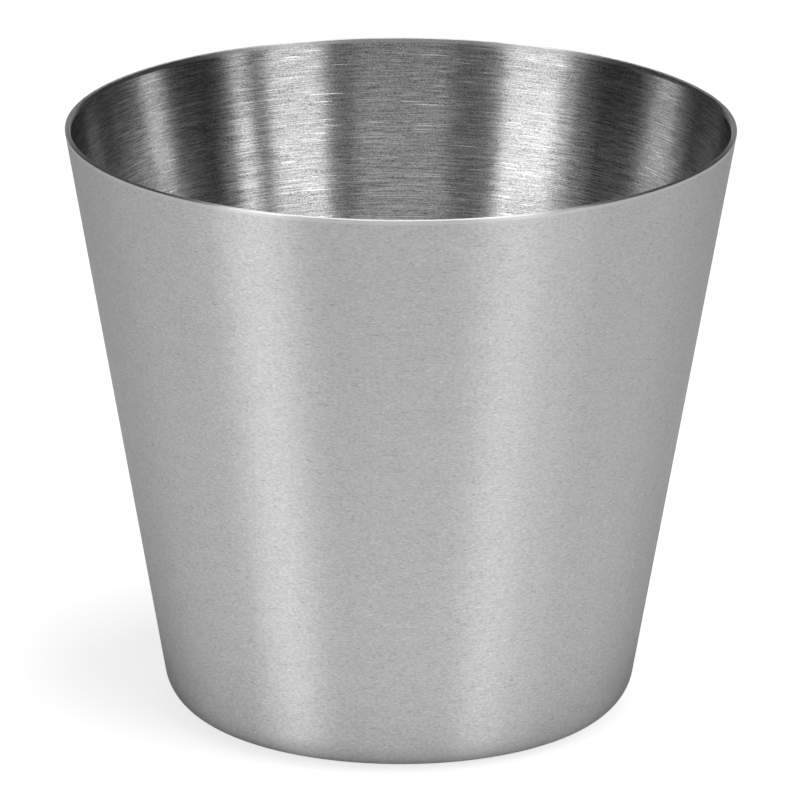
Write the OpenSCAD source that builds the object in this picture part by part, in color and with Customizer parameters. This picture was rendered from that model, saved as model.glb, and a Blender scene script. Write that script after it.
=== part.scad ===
// A plain tapered drinking cup with two walls of drawn sheet steel.
// The cup's axis is Z, it stands on z = 0, and lengths are millimetres.

/* [Cup] */
// Outside diameter of the lip
lip_d = 95; // [80:0.5:120]
// Height from the table to the top of the lip
cup_h = 85.5; // [60:0.5:130]
// Diameter at which the outer wall's line, carried on past the heel, meets the table
foot_d = 65.4; // [50:0.2:76]
// Outside radius of the rounded heel
heel_r = 6.2; // [3:0.1:9]

/* [Walls] */
// Sheet thickness of the outer shell
shell_t = 0.35; // [0.3:0.05:0.8]
// Sheet thickness of the inner liner
liner_t = 0.35; // [0.3:0.05:0.8]
// Space between the two walls beside the liner's floor; it closes towards the lip
wall_gap = 4; // [1:0.1:6]
// Space between the two walls just under the lip
lip_fit = 0.03; // [0.01:0.01:0.1]
// Space between the base cap and the liner's floor
floor_gap = 3.5; // [1:0.1:8]
// Inside radius of the corner between the liner's wall and its floor
liner_corner_r = 8; // [3:0.1:12]

/* [Lip] */
// Height of the ring of fused metal along the lip
lip_weld_h = 0.6; // [0.4:0.05:1.5]
// Radius of the lip's outer and inner edges
lip_edge_r = 0.15; // [0.05:0.01:0.25]

/* [Base] */
// Width of the flat ring that the cup stands on
stand_w = 2.8; // [1.5:0.1:5]
// Inside radius of the bend from the standing ring up into the flange
flange_bend_r = 0.6; // [0.2:0.05:2]
// Straight height of the flange under the base weld
flange_land = 0.4; // [0.1:0.05:2]
// Sheet thickness of the base cap
cap_t = 0.4; // [0.3:0.05:0.8]
// Height of the cap's skirt, from its lower edge to the top of the cap
skirt_h = 1.6; // [1.4:0.1:5]
// Inside radius of the bend between the cap's skirt and its panel
cap_bend_r = 0.4; // [0.1:0.05:0.6]
// Space between the cap's skirt and the flange
cap_fit = 0.02; // [0.01:0.01:0.1]

/* [Hidden] */
$fn = 180;
// Straight steps in each rounded stretch of a profile
arc_steps = 24;

// Outer wall: its slope, its radius at any height, and what a sheet measures across it
lip_edge_z = cup_h - lip_edge_r;
shell_slope = atan((lip_d - foot_d) / 2 / lip_edge_z);
shell_across = shell_t / cos(shell_slope);
function shell_wall_r(z) = foot_d / 2 + z * tan(shell_slope);

// Underside, from the table upwards: heel, standing ring, flange, weld and cap
heel_c = [shell_wall_r(heel_r) - heel_r / cos(shell_slope), heel_r];
flange_bend_out = flange_bend_r + shell_t;
flange_bend_c = [heel_c.x - stand_w, flange_bend_out];
flange_r = flange_bend_c.x - flange_bend_out;
base_weld_r = cap_fit + cap_t;
skirt_z = flange_bend_out + flange_land + base_weld_r;
cap_z = skirt_z + skirt_h;
cap_r = flange_r - cap_fit;
cap_bend_out = cap_bend_r + cap_t;
cap_bend_c = [cap_r - cap_bend_out, cap_z - cap_bend_out];

// Liner: it hangs from the lip weld, and its outside wall runs straight from there to its floor
lip_weld_z = cup_h - lip_weld_h;
liner_z = cap_z + floor_gap;
liner_top_r = shell_wall_r(lip_weld_z) - shell_across - lip_fit;
liner_low_r = shell_wall_r(liner_z) - shell_across - wall_gap;
liner_slope = atan((liner_top_r - liner_low_r) / (lip_weld_z - liner_z));
liner_across = liner_t / cos(liner_slope);
function liner_wall_r(z) = liner_low_r + (z - liner_z) * tan(liner_slope);
liner_corner_out = liner_corner_r + liner_t;
liner_corner_z = liner_z + liner_corner_out;
liner_corner_c = [liner_wall_r(liner_corner_z) - liner_corner_out / cos(liner_slope), liner_corner_z];

// Lip: the centres of its two rounded edges
lip_out_c = [shell_wall_r(lip_edge_z) - lip_edge_r / cos(shell_slope), lip_edge_z];
lip_in_c = [liner_wall_r(lip_edge_z) - liner_across + lip_edge_r / cos(liner_slope), lip_edge_z];

// Points along an arc, by its centre, radius and first and last direction
function arc(centre, radius, from, to) = [
    for (step = [0:arc_steps])
        let (angle = from + (to - from) * step / arc_steps)
        centre + radius * [cos(angle), sin(angle)]
];

// A list in the opposite order
function turned(points) = [for (i = [len(points) - 1:-1:0]) points[i]];

// Faces of the three sheets in section: depth is 0 on the outside face and the thickness on the other
function shell_face(depth) = concat(
    [[shell_wall_r(lip_weld_z) - depth / cos(shell_slope), lip_weld_z]],
    arc(heel_c, heel_r - depth, -shell_slope, -90),
    arc(flange_bend_c, flange_bend_out - depth, -90, -180),
    [[flange_r + depth, cap_z]]
);

function liner_face(depth) = concat(
    [[liner_top_r - depth / cos(liner_slope), lip_weld_z]],
    arc(liner_corner_c, liner_corner_out - depth, -liner_slope, -90),
    [[0, liner_z + depth]]
);

function cap_face(depth) = concat(
    [[cap_r - depth, skirt_z]],
    arc(cap_bend_c, cap_bend_out - depth, 0, 90),
    [[0, cap_z - depth]]
);

// A turned sheet between two faces
module sheet(outside, inside) {
    rotate_extrude()
        polygon(concat(outside, turned(inside)));
}

module outer_shell() {
    color("silver")
        sheet(shell_face(0), shell_face(shell_t));
}

module inner_liner() {
    color("darkgray")
        sheet(liner_face(0), liner_face(liner_t));
}

module lip_weld() {
    color("gainsboro")
        rotate_extrude()
            polygon(concat(
                [[shell_wall_r(lip_weld_z), lip_weld_z]],
                arc(lip_out_c, lip_edge_r, -shell_slope, 90),
                arc(lip_in_c, lip_edge_r, 90, 180 - liner_slope),
                [[liner_top_r - liner_across, lip_weld_z]]
            ));
}

module base_cap() {
    color("lightgray")
        sheet(cap_face(0), cap_face(cap_t));
}

// A quarter round in the corner between the flange and the lower edge of the cap's skirt
module base_weld() {
    color("dimgray")
        rotate_extrude()
            polygon(concat(
                [[flange_r, skirt_z]],
                arc([flange_r, skirt_z], base_weld_r, 180, 270)
            ));
}

outer_shell();
inner_liner();
lip_weld();
base_cap();
base_weld();
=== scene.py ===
# %% [markdown]
# # A plain steel julep cup
# The cup is two drawn steel walls, one hung inside the other and welded to it along the lip. The packed
# CAD model fixes every size and place. This lesson turns the same profiles as smooth meshes and gives
# each surface its finish: satin outside, line brushed inside, ground bright along the lip.

# %% Load the frame and keep its box
import math

import bmesh
import bpy
from mathutils import Matrix, Vector


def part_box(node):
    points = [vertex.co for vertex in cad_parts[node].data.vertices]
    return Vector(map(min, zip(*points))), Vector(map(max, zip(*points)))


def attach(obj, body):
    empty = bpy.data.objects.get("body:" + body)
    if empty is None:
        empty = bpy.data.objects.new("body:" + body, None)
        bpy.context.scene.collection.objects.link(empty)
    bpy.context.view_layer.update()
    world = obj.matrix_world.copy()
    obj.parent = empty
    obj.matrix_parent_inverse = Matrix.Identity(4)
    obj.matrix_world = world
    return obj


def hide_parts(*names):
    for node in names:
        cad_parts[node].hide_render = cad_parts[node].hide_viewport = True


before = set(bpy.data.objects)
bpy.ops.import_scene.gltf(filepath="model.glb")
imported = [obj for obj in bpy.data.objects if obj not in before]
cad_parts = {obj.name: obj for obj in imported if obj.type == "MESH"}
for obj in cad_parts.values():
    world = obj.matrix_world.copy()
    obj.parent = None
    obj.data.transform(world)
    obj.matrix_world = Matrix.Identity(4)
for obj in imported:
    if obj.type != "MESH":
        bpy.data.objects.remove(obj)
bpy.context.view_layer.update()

# %% [markdown]
# ## Sizes
# Heights and widths are read from the CAD nodes, so a changed CAD model brings its own sizes along. Only
# what a box can't tell, such as a sheet's thickness or a bend's radius, is written down, each where it is
# first needed.

# %% Sizes from the frame
def span(node):
    low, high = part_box(node)
    return low.z, high.z


def widest(node):
    return max(math.hypot(v.co.x, v.co.y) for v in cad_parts[node].data.vertices)


LIP_LOW, CUP_HEIGHT = span("lip_weld")
LINER_LOW, _ = span("inner_liner")
SKIRT_LOW, CAP_TOP = span("base_cap")
LIP_RADIUS = widest("lip_weld")
print(f"lip {2000 * LIP_RADIUS:.2f} mm across, cup {1000 * CUP_HEIGHT:.2f} mm high")

# %% Slope of the outer wall
SHEET = 0.00035
FOOT_RADIUS = 0.0327
LIP_EDGE = 0.00015
edge_z = CUP_HEIGHT - LIP_EDGE
shell_slope = math.atan((LIP_RADIUS - FOOT_RADIUS) / edge_z)
shell_across = SHEET / math.cos(shell_slope)


def shell_wall(z):
    return FOOT_RADIUS + z * math.tan(shell_slope)


print(f"outer wall leans {math.degrees(shell_slope):.2f} degrees")

# %% Slope of the inner wall
WALL_GAP = 0.004
LIP_FIT = 0.00003
liner_top = shell_wall(LIP_LOW) - shell_across - LIP_FIT
liner_foot = shell_wall(LINER_LOW) - shell_across - WALL_GAP
liner_slope = math.atan((liner_top - liner_foot) / (LIP_LOW - LINER_LOW))
liner_across = SHEET / math.cos(liner_slope)


def liner_wall(z):
    return liner_foot + (z - LINER_LOW) * math.tan(liner_slope)


print(f"inner wall leans {math.degrees(liner_slope):.2f} degrees")

# %% [markdown]
# ## Half sections
# A turned piece needs just half of its section, as points of radius and height. A drawn sheet has two
# faces that run side by side, so one function gives a face at any depth into the sheet, and the section
# goes out along one face and back along the other. Round stretches are arcs, worked out from a centre and
# two directions.

# %% Section helpers
ARC_STEPS = 20
WALL_ROWS = 10


def arc(centre, radius, start, end):
    turn = (math.radians(start + (end - start) * i / ARC_STEPS) for i in range(ARC_STEPS + 1))
    return [(centre[0] + radius * math.cos(a), centre[1] + radius * math.sin(a)) for a in turn]


def straight(first, last):
    share = (i / WALL_ROWS for i in range(WALL_ROWS))
    return [tuple(a + (b - a) * s for a, b in zip(first, last)) for s in share]


def closed(outside, inside=()):
    loop = [*outside, *reversed(inside)]
    return loop + loop[:1]


# %% Section of the outer shell
HEEL_RADIUS = 0.0062
STAND_WIDTH = 0.0028
FLANGE_BEND = 0.0006
heel_centre = (shell_wall(HEEL_RADIUS) - HEEL_RADIUS / math.cos(shell_slope), HEEL_RADIUS)
flange_bend_out = FLANGE_BEND + SHEET
flange_centre = (heel_centre[0] - STAND_WIDTH, flange_bend_out)
flange_radius = flange_centre[0] - flange_bend_out


def shell_face(depth):
    heel = arc(heel_centre, HEEL_RADIUS - depth, -math.degrees(shell_slope), -90)
    bend = arc(flange_centre, flange_bend_out - depth, -90, -180)
    top = (shell_wall(LIP_LOW) - depth / math.cos(shell_slope), LIP_LOW)
    return straight(top, heel[0]) + heel + bend + [(flange_radius + depth, CAP_TOP)]


shell_section = closed(shell_face(0), shell_face(SHEET))
print("outer shell section:", len(shell_section), "points")

# %% Section of the inner liner
LINER_CORNER = 0.008
corner_out = LINER_CORNER + SHEET
corner_z = LINER_LOW + corner_out
corner_centre = (liner_wall(corner_z) - corner_out / math.cos(liner_slope), corner_z)


def liner_face(depth):
    corner = arc(corner_centre, corner_out - depth, -math.degrees(liner_slope), -90)
    top = (liner_top - depth / math.cos(liner_slope), LIP_LOW)
    middle = (0, LINER_LOW + depth)
    return straight(top, corner[0]) + corner + straight(corner[-1], middle)[1:] + [middle]


liner_section = liner_face(0)[::-1] + liner_face(SHEET)
print("inner liner section:", len(liner_section), "points")

# %% Section of the lip weld
lip_out = (shell_wall(edge_z) - LIP_EDGE / math.cos(shell_slope), edge_z)
lip_in = (liner_wall(edge_z) - liner_across + LIP_EDGE / math.cos(liner_slope), edge_z)
lip_ring = [(shell_wall(LIP_LOW), LIP_LOW)]
lip_ring += arc(lip_out, LIP_EDGE, -math.degrees(shell_slope), 90)
lip_ring += arc(lip_in, LIP_EDGE, 90, 180 - math.degrees(liner_slope))
lip_ring += [(liner_top - liner_across, LIP_LOW)]
lip_section = closed(lip_ring)
print("lip weld section:", len(lip_section), "points")

# %% Section of the base cap
CAP_SHEET = 0.0004
CAP_FIT = 0.00002
CAP_BEND = 0.0004
cap_radius = flange_radius - CAP_FIT
cap_bend_out = CAP_BEND + CAP_SHEET
cap_centre = (cap_radius - cap_bend_out, CAP_TOP - cap_bend_out)


def cap_face(depth):
    bend = arc(cap_centre, cap_bend_out - depth, 0, 90)
    middle = (0, CAP_TOP - depth)
    return [(cap_radius - depth, SKIRT_LOW)] + bend + straight(bend[-1], middle)[1:] + [middle]


cap_section = cap_face(0)[::-1] + cap_face(CAP_SHEET)
print("base cap section:", len(cap_section), "points")

# %% Section of the base weld
bead_centre = (flange_radius, SKIRT_LOW)
bead_section = closed([bead_centre] + arc(bead_centre, CAP_FIT + CAP_SHEET, 180, 270))
print("base weld section:", len(bead_section), "points")

# %% [markdown]
# ## A lathe in Geometry Nodes
# Every piece is a body of revolution, so one tree turns them all. It lays a grid with one column for each
# step round the axis, gives each grid point the place of its section point, and swings it round. Merging
# by distance then closes the seam and the poles. A screw modifier could do the same, but the tree keeps
# its sizes as named inputs and can ripple a weld bead on the way.

# %% Helpers for node trees
def add(tree, kind, links=(), **settings):
    node = tree.nodes.new(kind)
    for name, value in settings.items():
        setattr(node, name, value)
    for socket, source in links:
        if hasattr(source, "is_output"):
            tree.links.new(source, node.inputs[socket])
        else:
            node.inputs[socket].default_value = source
    return node


def maths(tree, operation, *values):
    return add(tree, "ShaderNodeMath", list(enumerate(values)), operation=operation).outputs[0]


def vectors(tree, operation, *values):
    return add(tree, "ShaderNodeVectorMath", list(enumerate(values)), operation=operation).outputs


# %% Inputs of the lathe tree
lathe = bpy.data.node_groups.new("turn_on_lathe", "GeometryNodeTree")
lathe.is_modifier = True
lathe_socket = {}
for title, kind in (
    ("Section", "NodeSocketGeometry"),
    ("Steps round", "NodeSocketInt"),
    ("Ripples", "NodeSocketInt"),
    ("Ripple depth", "NodeSocketFloat"),
    ("Finish", "NodeSocketMaterial"),
):
    socket = lathe.interface.new_socket(title, in_out="INPUT", socket_type=kind)
    lathe_socket[title] = socket.identifier
lathe.interface.new_socket("Turned piece", in_out="OUTPUT", socket_type="NodeSocketGeometry")
given = add(lathe, "NodeGroupInput").outputs
print("lathe inputs:", list(lathe_socket))

# %% Which section point and which angle each grid point takes
size = add(lathe, "GeometryNodeAttributeDomainSize", [("Geometry", given["Section"])])
rows = size.outputs["Point Count"]
columns = maths(lathe, "ADD", given["Steps round"], 1)
index = add(lathe, "GeometryNodeInputIndex").outputs[0]
row = maths(lathe, "MODULO", index, rows)
step = maths(lathe, "FLOOR", maths(lathe, "DIVIDE", index, rows))
angle = maths(lathe, "DIVIDE", maths(lathe, "MULTIPLY", step, math.tau), given["Steps round"])
place = add(lathe, "GeometryNodeInputPosition").outputs[0]
picked = add(
    lathe,
    "GeometryNodeSampleIndex",
    [("Geometry", given["Section"]), ("Value", place), ("Index", row)],
    data_type="FLOAT_VECTOR",
).outputs["Value"]

# %% Ripple it and swing it round
wave = maths(lathe, "SINE", maths(lathe, "MULTIPLY", angle, given["Ripples"]))
lift = maths(lathe, "MULTIPLY", maths(lathe, "ADD", wave, 1.0), given["Ripple depth"])
along_z = add(lathe, "ShaderNodeCombineXYZ", [("Z", lift)]).outputs[0]
raised = vectors(lathe, "ADD", picked, along_z)[0]
spin = [("Vector", raised), ("Angle", angle)]
swung = add(lathe, "ShaderNodeVectorRotate", spin, rotation_type="Z_AXIS").outputs[0]

# %% Lay the grid there, close it and dress it
MERGE_WITHIN = 1e-7
grid = add(lathe, "GeometryNodeMeshGrid", [("Vertices X", columns), ("Vertices Y", rows)])
shape = grid.outputs["Mesh"]
for kind, links in (
    ("GeometryNodeSetPosition", [("Position", swung)]),
    ("GeometryNodeMergeByDistance", [("Distance", MERGE_WITHIN)]),
    ("GeometryNodeSetShadeSmooth", [("Shade Smooth", True)]),
    ("GeometryNodeRealizeInstances", []),
    ("GeometryNodeSetMaterial", [("Material", given["Finish"])]),
):
    shape = add(lathe, kind, [("Geometry", shape), *links]).outputs[0]
add(lathe, "NodeGroupOutput", [("Turned piece", shape)])
print("lathe tree:", len(lathe.nodes), "nodes")

# %% Run the lathe and keep a plain mesh
def turned_mesh(piece, finish, steps, ripples, ripple_depth):
    modifier = piece.modifiers.new("lathe", "NODES")
    modifier.node_group = lathe
    modifier[lathe_socket["Steps round"]] = steps
    modifier[lathe_socket["Ripples"]] = ripples
    modifier[lathe_socket["Ripple depth"]] = ripple_depth
    modifier[lathe_socket["Finish"]] = finish
    made = piece.evaluated_get(bpy.context.evaluated_depsgraph_get())
    mesh = bpy.data.meshes.new_from_object(made)
    piece.modifiers.clear()
    return mesh


# %% Point the faces outwards and keep the creases
CREASE = math.radians(40)
MM3 = 1e9


def settle(mesh):
    shape = bmesh.new()
    shape.from_mesh(mesh)
    bmesh.ops.recalc_face_normals(shape, faces=shape.faces)
    open_edges = sum(not edge.is_manifold for edge in shape.edges)
    volume = shape.calc_volume() * MM3
    shape.to_mesh(mesh)
    shape.free()
    mesh.set_sharp_from_angle(angle=CREASE)
    print(f"{mesh.name}: {len(mesh.polygons)} faces, {open_edges} open edges, {volume:.1f} mm3")


# %% Turn a section into a finished piece
STEPS_ROUND = 360


def turn(name, section, finish, steps=STEPS_ROUND, ripples=0, ripple_depth=0.0):
    outline = bpy.data.meshes.new(name + "_section")
    edges = [(i, i + 1) for i in range(len(section) - 1)]
    outline.from_pydata([(r, 0, z) for r, z in section], edges, [])
    piece = bpy.data.objects.new(name, outline)
    bpy.context.scene.collection.objects.link(piece)
    piece.data = turned_mesh(piece, finish, steps, ripples, ripple_depth)
    bpy.data.meshes.remove(outline)
    piece.data.name = name
    settle(piece.data)
    return piece


# %% [markdown]
# ## Grain that runs round the cup
# Both walls were finished while they spun, so every mark on them runs round the axis. One node group makes
# such marks at any length and pitch: it squeezes the place along the wall and stretches it round the cup,
# and feeds that to a noise. Height plus radius climbs steadily from the middle of the floor to the lip, so
# the same group draws lines on a wall and rings on a floor.

# %% Inputs of the grain group
def new_group(name, inputs, outputs):
    group = bpy.data.node_groups.new(name, "ShaderNodeTree")
    for title, kind in inputs:
        group.interface.new_socket(title, in_out="INPUT", socket_type=kind)
    for title, kind in outputs:
        group.interface.new_socket(title, in_out="OUTPUT", socket_type=kind)
    return group, add(group, "NodeGroupInput").outputs


FLOAT = "NodeSocketFloat"
VECTOR = "NodeSocketVector"
grain_values = ("Length", "Pitch", "Tilt", "Detail", "Shift")
grain_inputs = [("Place", VECTOR)] + [(title, FLOAT) for title in grain_values]
grain_group, given = new_group("turned_grain", grain_inputs, [("Grain", FLOAT)])
print("grain inputs:", [title for title, _ in grain_inputs])

# %% The grain group
NOISE_ROUGHNESS = 0.6
part = add(grain_group, "ShaderNodeSeparateXYZ", [(0, given["Place"])]).outputs
flat = add(grain_group, "ShaderNodeCombineXYZ", [("X", part["X"]), ("Y", part["Y"])]).outputs[0]
radius = vectors(grain_group, "LENGTH", flat)["Value"]
climb = maths(grain_group, "ADD", part["Z"], radius)
leaning = maths(grain_group, "MULTIPLY_ADD", part["X"], given["Tilt"], climb)
across = maths(grain_group, "DIVIDE", leaning, given["Pitch"])
east = maths(grain_group, "DIVIDE", part["X"], given["Length"])
east = maths(grain_group, "ADD", east, given["Shift"])
north = maths(grain_group, "DIVIDE", part["Y"], given["Length"])
spun = add(grain_group, "ShaderNodeCombineXYZ", [("X", east), ("Y", north), ("Z", across)]).outputs[0]
noise = add(
    grain_group,
    "ShaderNodeTexNoise",
    [("Vector", spun), ("Scale", 1.0), ("Detail", given["Detail"]), ("Roughness", NOISE_ROUGHNESS)],
)
add(grain_group, "NodeGroupOutput", [("Grain", noise.outputs["Fac"])])
print("grain group:", len(grain_group.nodes), "nodes")

# %% [markdown]
# ## Normals that lean with the grain
# Each brush line is a tiny groove whose sides lean up and down the wall, hardly ever round it. A second
# group leans the surface normal by two amounts, one along the wall and one round it, so a lamp spreads far
# along the wall and stays sharp round the cup. A bump node could do this too, but working the lean out
# directly holds at any picture size.

# %% The lean group
lean_group, given = new_group(
    "groove_lean",
    [("Facing", VECTOR), ("Round", VECTOR), ("Up", FLOAT), ("Sideways", FLOAT)],
    [("Normal", VECTOR)],
)


def scaled(tree, vector, value):
    pairs = [("Vector", vector), ("Scale", value)]
    return add(tree, "ShaderNodeVectorMath", pairs, operation="SCALE").outputs[0]


up_wall = vectors(lean_group, "CROSS_PRODUCT", given["Facing"], given["Round"])[0]
raised = vectors(lean_group, "ADD", given["Facing"], scaled(lean_group, up_wall, given["Up"]))[0]
aside = scaled(lean_group, given["Round"], given["Sideways"])
leant = vectors(lean_group, "ADD", raised, aside)[0]
add(lean_group, "NodeGroupOutput", [("Normal", vectors(lean_group, "NORMALIZE", leant)[0])])
print("lean group:", len(lean_group.nodes), "nodes")

# %% [markdown]
# ## Bare steel
# Every surface is bare steel, so one function makes the metal, and the finishes differ in roughness, grain
# and lean. The shader stretches its gloss across the grain, which runs round the axis. Small helpers mix
# layers of grain into a grey and into a lean of the normal.

# %% The metal
QUARTER_TURN = 0.25
EDGE_TINT = (0.75, 0.75, 0.75, 1)


def steel(name, roughness, anisotropy):
    material = bpy.data.materials.new(name)
    material.use_nodes = True
    tree = material.node_tree
    tree.nodes.clear()
    shader = add(tree, "ShaderNodeBsdfPrincipled", [("Metallic", 1.0), ("Anisotropic", anisotropy)])
    shader.inputs["Roughness"].default_value = roughness
    shader.inputs["Anisotropic Rotation"].default_value = QUARTER_TURN
    shader.inputs["Specular Tint"].default_value = EDGE_TINT
    tangent = add(tree, "ShaderNodeTangent", direction_type="RADIAL", axis="Z")
    tree.links.new(tangent.outputs[0], shader.inputs["Tangent"])
    add(tree, "ShaderNodeOutputMaterial", [("Surface", shader.outputs[0])])
    place = add(tree, "ShaderNodeTexCoord").outputs["Object"]
    return material, tree, shader, place


# %% Helpers that mix grain
NOISE_MIDDLE = 0.5


def grain(tree, place, length, pitch, tilt=0.0, detail=1.0, shift=0.0):
    values = zip(grain_values, (length, pitch, tilt, detail, shift))
    node = add(tree, "ShaderNodeGroup", [("Place", place), *values], node_tree=grain_group)
    return node.outputs["Grain"]


def remap(tree, value, low, high, to_low=0.0, to_high=1.0):
    ends = [("From Min", low), ("From Max", high), ("To Min", to_low), ("To Max", to_high)]
    return add(tree, "ShaderNodeMapRange", [("Value", value), *ends]).outputs["Result"]


def swing(tree, value, amount):
    return maths(tree, "MULTIPLY", maths(tree, "SUBTRACT", value, NOISE_MIDDLE), amount)


def layered(tree, middle, *layers):
    total = middle
    for value, amount in layers:
        total = maths(tree, "ADD", swing(tree, value, amount), total)
    return total


# %% Helpers that put it on the metal
def colour(tree, shader, tone):
    grey = add(tree, "ShaderNodeCombineColor", [("Red", tone), ("Green", tone), ("Blue", tone)])
    tree.links.new(grey.outputs[0], shader.inputs["Base Color"])


def lean(tree, shader, up, sideways):
    facing = add(tree, "ShaderNodeNewGeometry").outputs["Normal"]
    tangent = shader.inputs["Tangent"].links[0].from_socket
    pairs = [("Facing", facing), ("Round", tangent), ("Up", up), ("Sideways", sideways)]
    node = add(tree, "ShaderNodeGroup", pairs, node_tree=lean_group)
    tree.links.new(node.outputs["Normal"], shader.inputs["Normal"])


# %% [markdown]
# ## Satin outside
# The outer wall was finished with a fine pad while it turned. That leaves very short marks, a few tenths
# of a millimetre high and about as long, over faint clouds, with darker and paler dashes about
# a millimetre long among them. The marks go into the colour, and a slight lean of the normal spreads the
# lamps.

# %% Satin marks
satin, tree, shader, place = steel("satin_shell", roughness=0.46, anisotropy=0.95)
speck = grain(tree, place, length=0.00042, pitch=0.00020)
cloud = grain(tree, place, length=0.0040, pitch=0.0020, shift=3.0)
dark_dash = grain(tree, place, length=0.0011, pitch=0.00018, tilt=0.06, shift=7.0)
dark_dash = remap(tree, dark_dash, low=0.60, high=0.72)
pale_dash = grain(tree, place, length=0.0012, pitch=0.00018, tilt=-0.05, shift=4.0)
pale_dash = remap(tree, pale_dash, low=0.62, high=0.74)

# %% Satin finish
SATIN_GREY = 0.58
SPECK_TONE = 0.38
CLOUD_TONE = 0.05
DARK_DASH_TONE = -0.13
PALE_DASH_TONE = 0.09
SPECK_LEAN = 0.2
CLOUD_LEAN = 0.05
tone = layered(tree, SATIN_GREY, (speck, SPECK_TONE), (cloud, CLOUD_TONE))
tone = maths(tree, "MULTIPLY_ADD", dark_dash, DARK_DASH_TONE, tone)
tone = maths(tree, "MULTIPLY_ADD", pale_dash, PALE_DASH_TONE, tone)
colour(tree, shader, tone)
lean(tree, shader, swing(tree, speck, SPECK_LEAN), swing(tree, cloud, CLOUD_LEAN))
print(f"{satin.name}: {len(tree.nodes)} nodes")

# %% [markdown]
# ## Line brushing inside
# The liner was brushed harder: thin parallel lines run round it, so a lamp smears into an upright band.
# The shader gets strong anisotropy for the bands, and layers of grain draw the lines themselves: hairs
# a few millimetres long, longer streaks, a fine sparkle, and a few bright scratches. Just under the lip
# and on the floor the brushing is a little rougher, and both places are also painted darker, a painted
# shade.

# %% Brush marks
BRUSHED_ROUGHNESS = 0.28
brushed, tree, shader, place = steel("brushed_liner", roughness=BRUSHED_ROUGHNESS, anisotropy=1.0)
hair = grain(tree, place, length=0.0024, pitch=0.00014)
hair = remap(tree, hair, low=0.40, high=0.60)
streak = grain(tree, place, length=0.009, pitch=0.00015, shift=5.0)
streak = remap(tree, streak, low=0.48, high=0.70)
sparkle = grain(tree, place, length=0.00022, pitch=0.00014, shift=2.0)
scratch = grain(tree, place, length=0.007, pitch=0.00014, tilt=0.01, shift=9.0)
scratch = remap(tree, scratch, low=0.66, high=0.73)

# %% Where the brushing is rougher and painted darker
# Just under the lip the liner is a little rougher and painted darker, a painted shade.
RIM_ROUGH_AND_SHADE = (CUP_HEIGHT - 0.012, CUP_HEIGHT - 0.004)
# Near the floor of the cup the liner is rougher and painted darker, a painted shade.
FLOOR_ROUGH_AND_SHADE = (LINER_LOW + 0.002, LINER_LOW + 0.012)
RIM_ROUGHER = 0.03
FLOOR_ROUGHER = 0.2
height = add(tree, "ShaderNodeSeparateXYZ", [(0, place)]).outputs["Z"]
rim_rough_and_shade = remap(tree, height, *RIM_ROUGH_AND_SHADE)
low = remap(tree, height, *FLOOR_ROUGH_AND_SHADE, to_low=1.0, to_high=0.0)
rougher = maths(tree, "MULTIPLY_ADD", rim_rough_and_shade, RIM_ROUGHER, BRUSHED_ROUGHNESS)
rougher = maths(tree, "MULTIPLY_ADD", low, FLOOR_ROUGHER, rougher)
tree.links.new(rougher, shader.inputs["Roughness"])

# %% Grey of the brushing
BRUSHED_GREY = 0.64
HAIR_TONE = 0.26
STREAK_TONE = 0.36
SPARKLE_TONE = 1.3
SCRATCH_TONE = 0.3
FLOOR_PAINTED_SHADE = -0.35
RIM_PAINTED_SHADE = -0.14
TONE_LIMITS = (0.1, 0.95)
tone = layered(tree, BRUSHED_GREY, (hair, HAIR_TONE), (streak, STREAK_TONE), (sparkle, SPARKLE_TONE))
tone = maths(tree, "MULTIPLY_ADD", scratch, SCRATCH_TONE, tone)
# Painted shade: the tone is made darker on the floor of the cup and just under the lip.
for painted_shade_band, amount in ((low, FLOOR_PAINTED_SHADE), (rim_rough_and_shade, RIM_PAINTED_SHADE)):
    tone = maths(tree, "MULTIPLY", tone, maths(tree, "MULTIPLY_ADD", painted_shade_band, amount, 1.0))
colour(tree, shader, remap(tree, tone, *TONE_LIMITS, *TONE_LIMITS))

# %% Lean of the brushing
HAIR_LEAN = 0.07
STREAK_LEAN = 0.08
SCRATCH_LEAN = -0.3
STREAK_TURN = 0.004
up = maths(tree, "ADD", swing(tree, hair, HAIR_LEAN), swing(tree, streak, STREAK_LEAN))
up = maths(tree, "MULTIPLY_ADD", scratch, SCRATCH_LEAN, up)
lean(tree, shader, up, swing(tree, streak, STREAK_TURN))
print(f"{brushed.name}: {len(tree.nodes)} nodes")

# %% [markdown]
# ## Ground lip, turned base and weld bead
# The lip was ground round its top after welding, so its marks run round too. The base cap keeps the fine
# rings of its turning, and the bead that seals it is duller and rippled, as a weld is.

# %% Ground finish
LIP_GREY = 0.66
LINE_TONE = 0.2
ground, tree, shader, place = steel("ground_lip", roughness=0.4, anisotropy=1.0)
line = grain(tree, place, length=0.004, pitch=0.0001)
colour(tree, shader, layered(tree, LIP_GREY, (line, LINE_TONE)))
print(f"{ground.name}: {len(tree.nodes)} nodes")

# %% Turned finish
BASE_GREY = 0.55
RING_TONE = 0.3
RING_LEAN = 1.0
RING_TURN = 0.02
spun_base, tree, shader, place = steel("spun_base", roughness=0.3, anisotropy=1.0)
ring = grain(tree, place, length=0.02, pitch=0.0003, detail=2.0)
colour(tree, shader, layered(tree, BASE_GREY, (ring, RING_TONE)))
lean(tree, shader, swing(tree, ring, RING_LEAN), swing(tree, ring, RING_TURN))
print(f"{spun_base.name}: {len(tree.nodes)} nodes")

# %% Bead finish
BEAD_GREY = 0.42
PIT_TONE = 0.3
bead_steel, tree, shader, place = steel("weld_bead", roughness=0.5, anisotropy=0.0)
pit = grain(tree, place, length=0.0004, pitch=0.0003, detail=2.0)
colour(tree, shader, layered(tree, BEAD_GREY, (pit, PIT_TONE)))
print(f"{bead_steel.name}: {len(tree.nodes)} nodes")

# %% [markdown]
# ## The five pieces
# Each section is turned with its finish, rides on the one rigid body, and stands for the CAD node that it
# follows. The weld bead gets fine ripples, as a seam that was welded while it turned.

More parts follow.
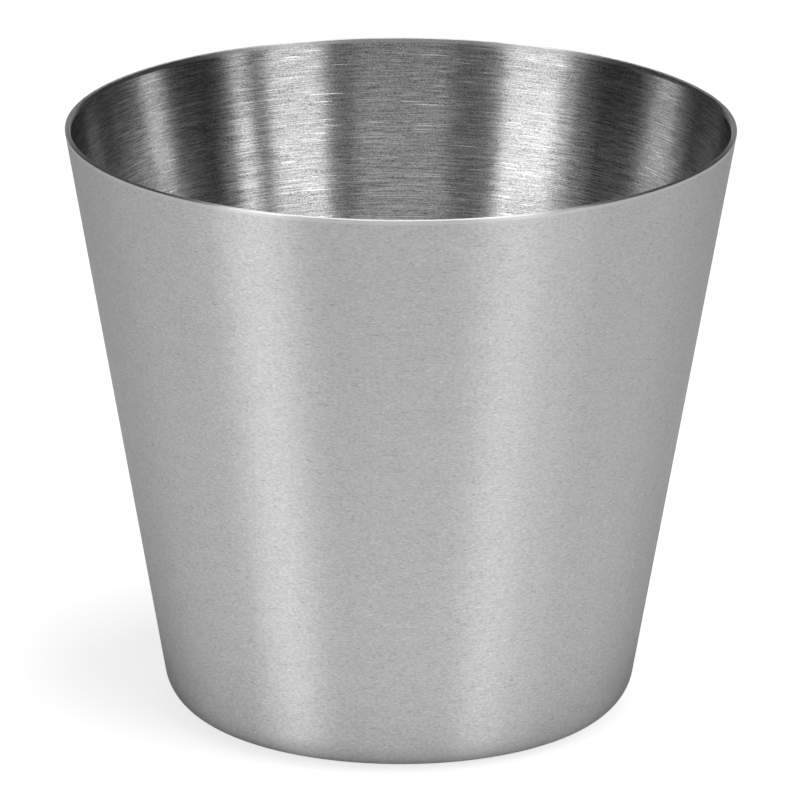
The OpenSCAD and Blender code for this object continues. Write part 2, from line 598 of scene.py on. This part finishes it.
# %% Turn the pieces
RIPPLES = 220
RIPPLE_DEPTH = 0.00001
STEPS_PER_RIPPLE = 6
shell = turn("shell", shell_section, satin)
liner = turn("liner", liner_section, brushed)
lip = turn("lip", lip_section, ground)
base = turn("base", cap_section, spun_base)
bead = turn("bead", bead_section, bead_steel, RIPPLES * STEPS_PER_RIPPLE, RIPPLES, RIPPLE_DEPTH)

# %% [markdown]
# The lip's two side faces carry on the walls under them and were finished with them. Only its top was
# ground, so its faces are shared out among three finishes by the way they point.

# %% Share out the lip's finishes
SIDEWAYS = 0.5
lip.data.materials.append(satin)
lip.data.materials.append(brushed)
for face in lip.data.polygons:
    outward = face.normal.x * face.center.x + face.normal.y * face.center.y
    if abs(face.normal.z) < SIDEWAYS:
        face.material_index = 1 if outward > 0 else 2
print("lip faces that were ground:", sum(face.material_index == 0 for face in lip.data.polygons))

# %% Put the pieces on the frame
def place_piece(piece, node):
    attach(piece, "root")
    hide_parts(node)


place_piece(shell, "outer_shell")
place_piece(liner, "inner_liner")
place_piece(lip, "lip_weld")
place_piece(base, "base_cap")
place_piece(bead, "base_weld")
cup = [shell, liner, lip, base, bead]
print("on the frame:", [piece.name for piece in cup])

# %% [markdown]
# ## Floor
# The cup stands on plain white paper. The paper is mostly self-lit where the camera or a reflection looks
# at it, so it stays white without more light on the cup, and the part left matt keeps the cup's soft
# shadow. What steel mirrors of the paper falls off with distance, is shaded round the foot and behind the
# cup, and glows weakly under the recess, so that the underside can be made out. Seen from below the paper
# lets the view through.

# %% Sheet of paper
FLOOR_SIZE = 6.0
FLOOR_DROP = 0.0001
half = FLOOR_SIZE / 2
floor_mesh = bpy.data.meshes.new("floor")
corners = [(x, y, -FLOOR_DROP) for x, y in ((-half, -half), (half, -half), (half, half), (-half, half))]
floor_mesh.from_pydata(corners, [], [(0, 1, 2, 3)])
floor = bpy.data.objects.new("floor", floor_mesh)
bpy.context.scene.collection.objects.link(floor)
paper = bpy.data.materials.new("white_paper")
floor_mesh.materials.append(paper)
print(f"floor: {FLOOR_SIZE} m square")

# %% Shades that steel mirrors round the cup
WHITE_NEAR = 0.96
WHITE_FAR = 0.59
FALL_OFF = (0.05, 0.30)
FOOT_SHADE_MIDDLE = (0.001, 0.010, 0)
FOOT_SHADE = (0.035, 0.052)
CONTACT_SHADE = (0.0285, 0.034)
BACK_SHADE_MIDDLE = (0, 0.055, 0)
BACK_SHADE = (0.055, 0.115)
BACK_SHADE_LEVEL = 0.4
paper.use_nodes = True
tree = paper.node_tree
tree.nodes.clear()
spot = add(tree, "ShaderNodeTexCoord").outputs["Object"]
away = vectors(tree, "LENGTH", spot)["Value"]
from_foot = vectors(tree, "DISTANCE", spot, FOOT_SHADE_MIDDLE)["Value"]
from_back = vectors(tree, "DISTANCE", spot, BACK_SHADE_MIDDLE)["Value"]
around = remap(tree, away, *FALL_OFF, WHITE_NEAR, WHITE_FAR)
for shade in (
    remap(tree, from_foot, *FOOT_SHADE),
    remap(tree, away, *CONTACT_SHADE),
    remap(tree, from_back, *BACK_SHADE, to_low=BACK_SHADE_LEVEL),
):
    around = maths(tree, "MULTIPLY", around, shade)

# %% Glow under the recess
BENEATH = (0.0265, 0.0285)
BENEATH_LEVEL = (0.15, 0.65)
beneath = remap(tree, away, *BENEATH, to_low=1.0, to_high=0.0)
crosswise = add(tree, "ShaderNodeSeparateXYZ", [(0, spot)]).outputs["X"]
slanting = remap(tree, crosswise, -BENEATH[1], BENEATH[1], *BENEATH_LEVEL)
shown = maths(tree, "MULTIPLY_ADD", beneath, slanting, around)

# %% White paper
WHITE_TO_CAMERA = 0.78
PAPER = 0.8
WHITE = (1, 1, 1, 1)
ray = add(tree, "ShaderNodeLightPath").outputs
to_camera = maths(tree, "MULTIPLY", ray["Is Camera Ray"], WHITE_TO_CAMERA)
to_steel = maths(tree, "ADD", ray["Is Glossy Ray"], ray["Is Transmission Ray"])
own_light = maths(tree, "MULTIPLY_ADD", to_steel, shown, to_camera)
matt = add(tree, "ShaderNodeBsdfDiffuse", [("Color", (PAPER, PAPER, PAPER, 1))])
white = add(tree, "ShaderNodeEmission", [("Color", WHITE), ("Strength", own_light)])
top = add(tree, "ShaderNodeAddShader", [(0, matt.outputs[0]), (1, white.outputs[0])])
clear = add(tree, "ShaderNodeBsdfTransparent")
below = add(tree, "ShaderNodeNewGeometry").outputs["Backfacing"]
sheet = add(tree, "ShaderNodeMixShader", [(0, below), (1, top.outputs[0]), (2, clear.outputs[0])])
add(tree, "ShaderNodeOutputMaterial", [("Surface", sheet.outputs[0])])
print(f"{paper.name}: {len(tree.nodes)} nodes")

# %% [markdown]
# ## Room and lamps
# Bare steel shows the room more than itself, so the lamps are placed by the bands that they leave. A tall
# softbox and a narrow strip stand on each side of the camera, with a pale wall behind it and a broad panel
# overhead. The rest of the room is dark grey. Each lamp is given by the direction from the cup, its width
# and height as seen from there, in degrees, and its brightness next to white. It also has a list of what
# it lights: the panels at the sides and behind light the liner, the shell or the lip alone, and the paper
# has two lamps of its own.

# %% Room
ROOM_GREY = 0.01
world = bpy.data.worlds.new("studio")
bpy.context.scene.world = world
world.use_nodes = True
tree = world.node_tree
tree.nodes.clear()
ray = add(tree, "ShaderNodeLightPath").outputs
level = remap(tree, ray["Is Camera Ray"], 0.0, 1.0, to_low=ROOM_GREY)
glow = add(tree, "ShaderNodeBackground", [("Color", WHITE), ("Strength", level)])
add(tree, "ShaderNodeOutputWorld", [("Surface", glow.outputs[0])])
print(f"{world.name}: grey {ROOM_GREY} to the steel, white to the camera")

# %% A softbox
LAMP_DISTANCE = 1.6
CUP_MIDDLE = Vector((0, 0, CUP_HEIGHT / 2))


def seen_as(degrees):
    return 2 * LAMP_DISTANCE * math.tan(math.radians(degrees / 2))


def softbox(name, lit, azimuth, rise, wide, tall, brightness, roll=0):
    turn_by = math.radians(azimuth)
    lift_by = math.radians(rise)
    level = math.cos(lift_by)
    towards = Vector((math.sin(turn_by) * level, -math.cos(turn_by) * level, math.sin(lift_by)))
    lamp = bpy.data.lights.new(name, "AREA")
    lamp.shape = "RECTANGLE"
    lamp.size = seen_as(wide)
    lamp.size_y = seen_as(tall)
    lamp.energy = brightness * math.pi * lamp.size * lamp.size_y
    holder = bpy.data.objects.new(name, lamp)
    holder.location = CUP_MIDDLE + towards * LAMP_DISTANCE
    rolled = Matrix.Rotation(math.radians(roll), 3, "Z")
    holder.rotation_euler = (towards.to_track_quat("Z", "Y").to_matrix() @ rolled).to_euler()
    bpy.context.scene.collection.objects.link(holder)
    receivers = bpy.data.collections.new(name + "_lights")
    for piece in lit:
        receivers.objects.link(piece)
    holder.light_linking.receiver_collection = receivers
    print(f"{name}: {lamp.size:.2f} x {lamp.size_y:.2f} m, {lamp.energy:.1f} W")


# %% Lamps for the whole cup
softbox("left_softbox", cup, azimuth=-54.5, rise=36, wide=20, tall=46, brightness=3.45, roll=16)
softbox("left_strip", cup, azimuth=-65, rise=24, wide=7, tall=18, brightness=1.75)
softbox("right_softbox", cup, azimuth=43.5, rise=36, wide=20, tall=46, brightness=2.7, roll=-11)
softbox("right_strip", cup, azimuth=63, rise=24, wide=6, tall=18, brightness=3.75)
softbox("wall_behind_camera", cup, azimuth=0, rise=29, wide=34, tall=40, brightness=0.42)
softbox("overhead_panel", cup, azimuth=0, rise=90, wide=50, tall=50, brightness=2.5)

# %% Lamps for one piece or for the paper
softbox("left_panel", [liner], azimuth=-112.5, rise=23, wide=13, tall=22, brightness=2.0, roll=15)
softbox("right_panel", [liner], azimuth=105, rise=23, wide=10, tall=22, brightness=3.0, roll=-15)
softbox("left_fill", [shell], azimuth=-95, rise=30, wide=40, tall=40, brightness=0.48)
softbox("right_fill", [shell], azimuth=97, rise=30, wide=40, tall=40, brightness=0.38)
softbox("back_fill", [shell], azimuth=180, rise=32, wide=46, tall=36, brightness=0.3)
softbox("inside_panel", [liner], azimuth=180, rise=40, wide=44, tall=24, brightness=1.7)
softbox("back_panel", [lip], azimuth=180, rise=36, wide=10, tall=24, brightness=3.1)
softbox("back_low_panel", [lip], azimuth=180, rise=6.5, wide=60, tall=13, brightness=1.0)
softbox("floor_key", [floor], azimuth=38, rise=84, wide=20, tall=20, brightness=8.5)
softbox("floor_side", [floor], azimuth=50, rise=45, wide=50, tall=40, brightness=1.1)

# %% [markdown]
# ## Camera
# The camera stands where the lip's oval, the leaning sides and the heel's curve fall as they do in the
# picture: a little over a metre away, looking down by about 17 degrees through a long lens. The view
# transform is the plain one, so a white of 1 stays white.

# %% Camera
CAMERA_RISE = 17.54
CAMERA_ROLL = 0.2
CAMERA_DISTANCE = 1.3606
CAMERA_AIM = 0.04488
LENS_MM = 429.4
rise = math.radians(CAMERA_RISE)
lens = bpy.data.cameras.new("camera")
lens.lens = LENS_MM
camera = bpy.data.objects.new("camera", lens)
back = CAMERA_DISTANCE * math.cos(rise)
camera.location = (0, -back, CAMERA_AIM + CAMERA_DISTANCE * math.sin(rise))
rolled = Matrix.Rotation(math.radians(CAMERA_ROLL), 3, "Z")
camera.rotation_euler = (Matrix.Rotation(math.pi / 2 - rise, 3, "X") @ rolled).to_euler()
bpy.context.scene.collection.objects.link(camera)
bpy.context.scene.camera = camera
bpy.context.scene.view_settings.view_transform = "Standard"
print(f"camera: {CAMERA_DISTANCE} m away, {CAMERA_RISE} degrees up, lens {LENS_MM} mm")
